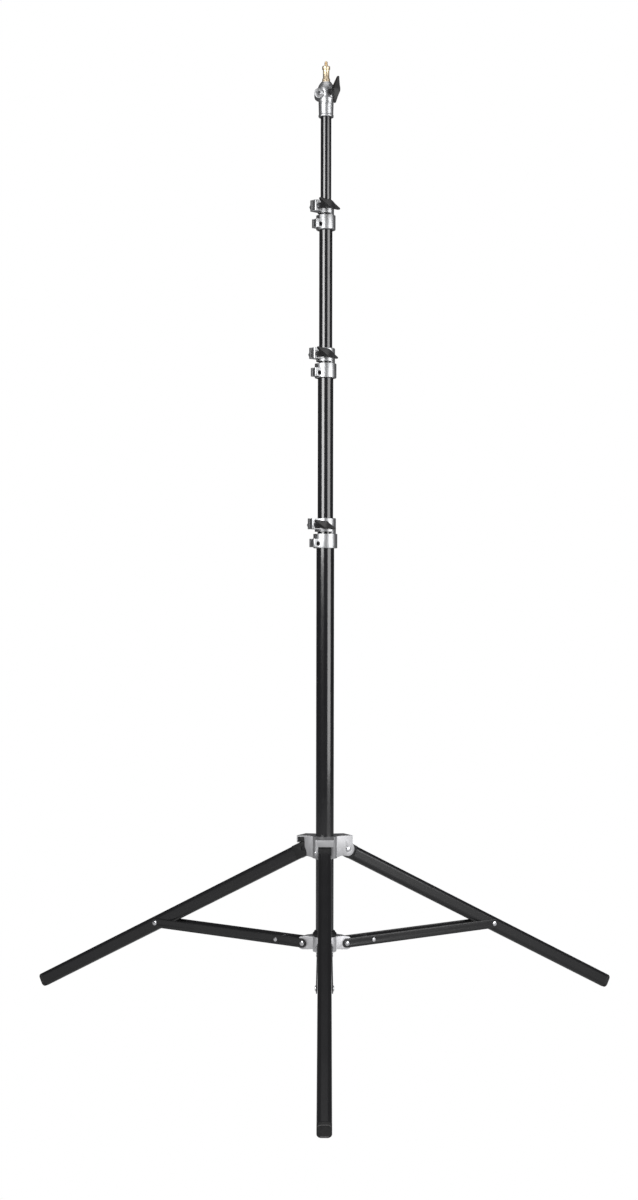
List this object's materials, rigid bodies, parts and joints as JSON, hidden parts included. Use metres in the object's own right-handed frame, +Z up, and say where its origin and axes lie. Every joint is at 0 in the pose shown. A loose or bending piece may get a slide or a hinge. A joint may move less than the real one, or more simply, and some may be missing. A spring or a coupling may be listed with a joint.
{
  "type": "telescoping lighting stand",
  "caption": "Tall telescoping stand on a folding tripod base, with clamp collars, wing knobs and a brass spigot on top.",
  "frame": {"origin": "on the column's axis at floor level, under the middle of the three feet", "axes": "+Z up along the column; -Y along the first leg"},
  "size_m": [1.2542, 1.0882, 1.9302],
  "materials": {
    "black_anodised": "gloss black anodised aluminium tube",
    "black_satin": "satin black leg and brace finish",
    "cast_alloy": "satin cast aluminium",
    "nylon": "black moulded nylon",
    "brass": "turned brass",
    "steel": "bright zinc-plated steel",
    "black_steel": "black oxide steel screw",
    "rubber": "black rubber"
  },
  "bodies": {
    "column": {"column_tube": "black_anodised", "column_end_cap": "nylon", "collar_1_casting": "cast_alloy", "collar_1_nut": "steel", "collar_1_clamp_screw": "black_steel", "lower_spider": "cast_alloy", "lower_skirt": "nylon", "brace_pins": "steel"},
    "riser_1": {"riser_1_tube": "black_anodised", "riser_1_guide": "nylon", "collar_2_casting": "cast_alloy", "collar_2_nut": "steel", "collar_2_clamp_screw": "black_steel"},
    "riser_2": {"riser_2_tube": "black_anodised", "riser_2_guide": "nylon", "collar_3_casting": "cast_alloy", "collar_3_nut": "steel", "collar_3_clamp_screw": "black_steel"},
    "riser_3": {"riser_3_tube": "black_anodised", "riser_3_guide": "nylon", "head_casting": "cast_alloy"},
    "spigot": {"spigot": "brass"},
    "head_knob": {"head_knob": "nylon", "head_knob_stud": "steel"},
    "top_spider": {"top_spider": "cast_alloy", "leg_stop_pads": "nylon", "leg_pivot_bolts": "steel"},
    "spider_knob": {"spider_knob": "nylon", "spider_knob_stud": "steel"},
    "collar_1_knob": {"collar_1_knob": "nylon", "collar_1_knob_stud": "steel"},
    "leg_1": {"leg_1_tube": "black_satin", "leg_1_head": "nylon", "leg_1_foot": "rubber", "leg_1_sleeve": "steel"},
    "brace_1": {"brace_1_left_bar": "black_satin", "brace_1_right_bar": "black_satin", "brace_1_rivets": "steel"},
    "collar_2_knob": {"collar_2_knob": "nylon", "collar_2_knob_stud": "steel"},
    "leg_2": {"leg_2_tube": "black_satin", "leg_2_head": "nylon", "leg_2_foot": "rubber", "leg_2_sleeve": "steel"},
    "brace_2": {"brace_2_left_bar": "black_satin", "brace_2_right_bar": "black_satin", "brace_2_rivets": "steel"},
    "collar_3_knob": {"collar_3_knob": "nylon", "collar_3_knob_stud": "steel"},
    "leg_3": {"leg_3_tube": "black_satin", "leg_3_head": "nylon", "leg_3_foot": "rubber", "leg_3_sleeve": "steel"},
    "brace_3": {"brace_3_left_bar": "black_satin", "brace_3_right_bar": "black_satin", "brace_3_rivets": "steel"}
  },
  "joints": [
    {"name": "riser_1_slide", "type": "slide", "parent": "column", "child": "riser_1", "axis": [0, 0, 1], "range_m": [-0.265, 0.44]},
    {"name": "riser_2_slide", "type": "slide", "parent": "riser_1", "child": "riser_2", "axis": [0, 0, 1], "range_m": [-0.22, 0.46]},
    {"name": "riser_3_slide", "type": "slide", "parent": "riser_2", "child": "riser_3", "axis": [0, 0, 1], "range_m": [-0.155, 0.51]},
    {"name": "spigot_lift", "type": "slide", "parent": "riser_3", "child": "spigot", "axis": [0, 0, 1], "range_m": [0, 0.034]},
    {"name": "spider_slide", "type": "slide", "parent": "column", "child": "top_spider", "axis": [0, 0, 1], "range_m": [0, 0.5723]},
    {"name": "leg_1_fold", "type": "hinge", "parent": "top_spider", "child": "leg_1", "pos_m": [0, -0.044, 0.35413], "axis": [1, 0, 0], "range_deg": [0, 56.96]},
    {"name": "brace_1_fold", "type": "hinge", "parent": "column", "child": "brace_1", "pos_m": [0, -0.044, 0.165], "axis": [-1, 0, 0], "range_deg": [0, 82.5]},
    {"name": "leg_2_fold", "type": "hinge", "parent": "top_spider", "child": "leg_2", "pos_m": [0.0381, 0.022, 0.35413], "axis": [-0.5, 0.866, 0], "range_deg": [0, 56.96]},
    {"name": "brace_2_fold", "type": "hinge", "parent": "column", "child": "brace_2", "pos_m": [0.0381, 0.022, 0.165], "axis": [0.5, -0.866, 0], "range_deg": [0, 82.5]},
    {"name": "leg_3_fold", "type": "hinge", "parent": "top_spider", "child": "leg_3", "pos_m": [-0.0381, 0.022, 0.35413], "axis": [-0.5, -0.866, 0], "range_deg": [0, 56.96]},
    {"name": "brace_3_fold", "type": "hinge", "parent": "column", "child": "brace_3", "pos_m": [-0.0381, 0.022, 0.165], "axis": [0.5, 0.866, 0], "range_deg": [0, 82.5]},
    {"name": "collar_1_knob_turn", "type": "hinge", "parent": "column", "child": "collar_1_knob", "pos_m": [-0.01591, -0.02771, 1.0023], "axis": [0.6428, -0.766, 0], "range_deg": [0, 360]},
    {"name": "collar_2_knob_turn", "type": "hinge", "parent": "riser_1", "child": "collar_2_knob", "pos_m": [-0.01223, -0.02785, 1.342], "axis": [0.6561, -0.7547, 0], "range_deg": [0, 360]},
    {"name": "collar_3_knob_turn", "type": "hinge", "parent": "riser_2", "child": "collar_3_knob", "pos_m": [-0.00891, -0.02821, 1.6363], "axis": [0.6691, -0.7431, 0], "range_deg": [0, 360]},
    {"name": "head_knob_turn", "type": "hinge", "parent": "riser_3", "child": "head_knob", "pos_m": [0.01127, -0.02119, 1.8636], "axis": [0.4695, -0.8829, 0], "range_deg": [0, 360]},
    {"name": "spider_knob_turn", "type": "hinge", "parent": "top_spider", "child": "spider_knob", "pos_m": [0, 0.0325, 0.35513], "axis": [0, 1, 0], "range_deg": [0, 360]}
  ],
  "couplings": [
    {"joint": "leg_1_fold", "follows": "spider_slide", "rad_per_m": 1.7368},
    {"joint": "brace_1_fold", "follows": "spider_slide", "rad_per_m": 2.5157},
    {"joint": "leg_2_fold", "follows": "spider_slide", "rad_per_m": 1.7368},
    {"joint": "brace_2_fold", "follows": "spider_slide", "rad_per_m": 2.5157},
    {"joint": "leg_3_fold", "follows": "spider_slide", "rad_per_m": 1.7368},
    {"joint": "brace_3_fold", "follows": "spider_slide", "rad_per_m": 2.5157}
  ]
}
